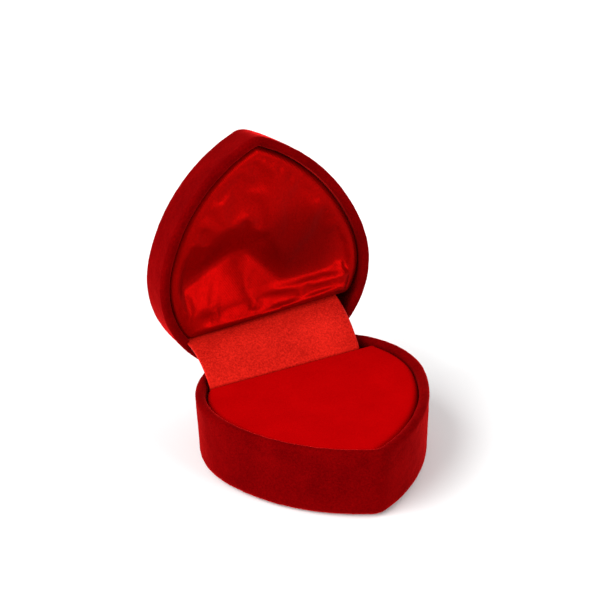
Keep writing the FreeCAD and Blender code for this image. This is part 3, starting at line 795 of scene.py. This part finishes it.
def lining_puff(x, y, distance):
    """How far the satin stands proud of its flat face, towards whoever opens the box.

    The hollow ends in a fold at its lower right.  Below that the satin leans forward to a bead that lies
    along the rear edge.  Faint streaks cross the left, and all of it is slightly uneven."""
    hollow = sum(lining_hollow(x, y + shift) for shift in SOFTENING) / len(SOFTENING)
    past_fold = y - stepped(x, FOLD_LINE) - FOLD_BELOW_LINE
    fold = FOLD_HEIGHT * bell(past_fold, FOLD_WIDTH) * smooth(x, *FOLD_STARTS)
    straight_y = y - LINING_SKEW * x
    lean = LEAN_SLOPE * np.maximum(straight_y - LEAN_START, 0.0)
    bead = BEAD_HEIGHT * bell(LINING_BACK - straight_y - BEAD_SETBACK, BEAD_WIDTH)
    across, slant, along = STREAK_RATES
    streaks = noise_field(x * across + y * slant, y * along, STREAK_SEED)
    streaked = bell(x - STREAKED_MIDDLE, STREAKED_WIDTH) * smooth(y, *STREAKED_FROM) * smooth(y, *STREAKED_TO)
    soft = noise_field(x * SOFT_RATE, y * SOFT_RATE, SOFT_SEED)
    relief = hollow + fold + STREAK_HEIGHT * streaks * streaked + SOFT_HEIGHT * soft
    return (relief * smooth(distance, 0.0, RELIEF_FADE) + lean * smooth(distance, 0.0, LEAN_FADE)
            + bead * smooth(distance, 0.0, BEAD_FADE))


def ribbon_column(share):
    """Points of the ribbon from behind the pad to behind the lining, at a share of its width."""
    x = RIBBON_LEFT + (RIBBON_RIGHT - RIBBON_LEFT) * share
    lid_x = x - RIBBON_SPREAD * (1 - share)
    base_end = np.array([x, PAD_BACK + PAD_SKEW * x + RIBBON_BEHIND, PAD_TOP])
    lid_y = LINING_BACK + LINING_SKEW * lid_x + RIBBON_BEHIND
    lid_end, lid_tuck = swung_open(np.array([[lid_x, lid_y, LINING_FACE + RIBBON_LID_END],
                                             [lid_x, lid_y, LINING_FACE + RIBBON_TUCK]]))
    base_tuck = base_end - np.array([0.0, 0.0, RIBBON_TUCK])
    bow = RIBBON_BOW - RIBBON_BOW_SLOPE * x
    chord = lid_end - base_end
    proud = np.array([0.0, -chord[2], chord[1]])
    proud /= np.linalg.norm(proud)
    along = np.linspace(0, 1, RIBBON_STEPS + 1)[:, None]
    middle = base_end + chord * along + proud * bow * 4 * along * (1 - along)
    tuck = np.linspace(0, 1, RIBBON_TUCK_STEPS, endpoint=False)[:, None]
    below = base_tuck + (base_end - base_tuck) * tuck
    above = lid_tuck + (lid_end - lid_tuck) * tuck
    return np.concatenate([below, middle, above[::-1]])


def make_ribbon():
    shares = np.linspace(0, 1, RIBBON_COLUMNS + 1)
    columns = np.array([ribbon_column(share) for share in shares])
    rows = columns.shape[1]
    points = columns.reshape(-1, 3)
    faces = [(c * rows + r, (c + 1) * rows + r, (c + 1) * rows + r + 1, c * rows + r + 1)
             for c in range(RIBBON_COLUMNS) for r in range(rows - 1)]
    ribbon = make_mesh("satin_ribbon", points, faces, RIBBON)
    thick = ribbon.modifiers.new("thickness", "SOLIDIFY")
    thick.thickness = RIBBON_THICKNESS * MM
    thick.offset = 0.0
    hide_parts("hinge_ribbon")
    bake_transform(ribbon)


def make_springs():
    """The snap springs, as the CAD has them, in spring steel."""
    for side in ("left", "right"):
        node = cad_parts["snap_spring_" + side]
        mesh = node.data.copy()
        mesh.transform(node.matrix_world)
        mesh.materials.clear()
        mesh.materials.append(SPRING)
        spring = bpy.data.objects.new("spring_strip_" + side, mesh)
        bpy.context.scene.collection.objects.link(spring)
        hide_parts(node.name)
        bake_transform(spring)


def dress_cad_nodes():
    finishes = {"pad_board": CARD, "lining_board": CARD, "lining_riser": FELT_AS_SHADE}
    for side in ("left", "right"):
        finishes["base_hinge_leaf_" + side] = STEEL
        finishes["lid_hinge_leaf_" + side] = STEEL
        finishes["hinge_pin_" + side] = STEEL
    for name, material in finishes.items():
        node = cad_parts[name]
        node.data.materials.clear()
        node.data.materials.append(material)


# ---------------------------------------------------------------- stage

def make_stage():
    half = 3.0
    drop = 0.00002
    corners = [(-half, -half, 0), (half, -half, 0), (half, half, 0), (-half, half, 0)]
    mesh = bpy.data.meshes.new("floor")
    mesh.from_pydata(corners, [], [(0, 1, 2, 3)])
    floor = bpy.data.objects.new("floor", mesh)
    floor.location.z = -drop
    bpy.context.scene.collection.objects.link(floor)
    material, _, _, shader = new_material("pale_floor")
    set_inputs(shader, {"Base Color": (0.95, 0.95, 0.95, 1.0), "Roughness": 0.7})
    mesh.materials.append(material)


def area_light(name, place, target, size, power):
    light = bpy.data.lights.new(name, "AREA")
    light.shape = "SQUARE"
    light.size = size
    light.energy = power
    obj = bpy.data.objects.new(name, light)
    obj.location = place
    obj.rotation_euler = (Vector(target) - Vector(place)).to_track_quat("-Z", "Y").to_euler()
    bpy.context.scene.collection.objects.link(obj)


def make_lights():
    """An even white world, a broad sun from the left, a fill from the right and a softbox in front."""
    world = bpy.data.worlds.new("studio")
    world.use_nodes = True
    set_inputs(world.node_tree.nodes["Background"], {"Color": (1.0, 1.0, 1.0, 1.0), "Strength": 0.44})
    bpy.context.scene.world = world
    sun = bpy.data.lights.new("key", "SUN")
    sun.energy = 3.8
    sun.angle = math.radians(60)
    key = bpy.data.objects.new("key", sun)
    towards_sun = Vector((-0.82, 0.04, 0.60))
    key.rotation_euler = towards_sun.to_track_quat("Z", "Y").to_euler()
    bpy.context.scene.collection.objects.link(key)
    area_light("fill", place=(0.5, 0.10, 0.3), target=(0.0, 0.0, 0.02), size=0.4, power=1.0)
    area_light("front_softbox", place=(0.20, -0.49, 0.22), target=(0.0, 0.02, 0.045), size=0.20, power=1.25)


def make_camera():
    """The viewing angle: turned round to the left of the tip, looking down on the box."""
    azimuth, elevation, roll = math.radians(-25.28), math.radians(26.75), math.radians(-1.32)
    distance = 0.31406
    target = Vector((-0.0022128, 0.0, 0.0345691))
    back = Vector((math.sin(azimuth) * math.cos(elevation), -math.cos(azimuth) * math.cos(elevation),
                   math.sin(elevation)))
    right = Vector((math.cos(azimuth), math.sin(azimuth), 0.0))
    up = back.cross(right)
    rolled_right = right * math.cos(roll) + up * math.sin(roll)
    rolled_up = up * math.cos(roll) - right * math.sin(roll)
    data = bpy.data.cameras.new("camera")
    data.sensor_width = 36.0
    data.lens = 93.76
    data.clip_start = 0.01
    data.clip_end = 20.0
    camera = bpy.data.objects.new("camera", data)
    turn = Matrix((rolled_right, rolled_up, back)).transposed().to_4x4()
    camera.matrix_world = Matrix.Translation(target + back * distance) @ turn
    bpy.context.scene.collection.objects.link(camera)
    bpy.context.scene.camera = camera


make_base_shell()
make_lid_shell()
make_pad()
make_lining()
make_ribbon()
make_springs()
dress_cad_nodes()
make_stage()
make_lights()
make_camera()
bpy.context.scene.view_settings.view_transform = "Standard"
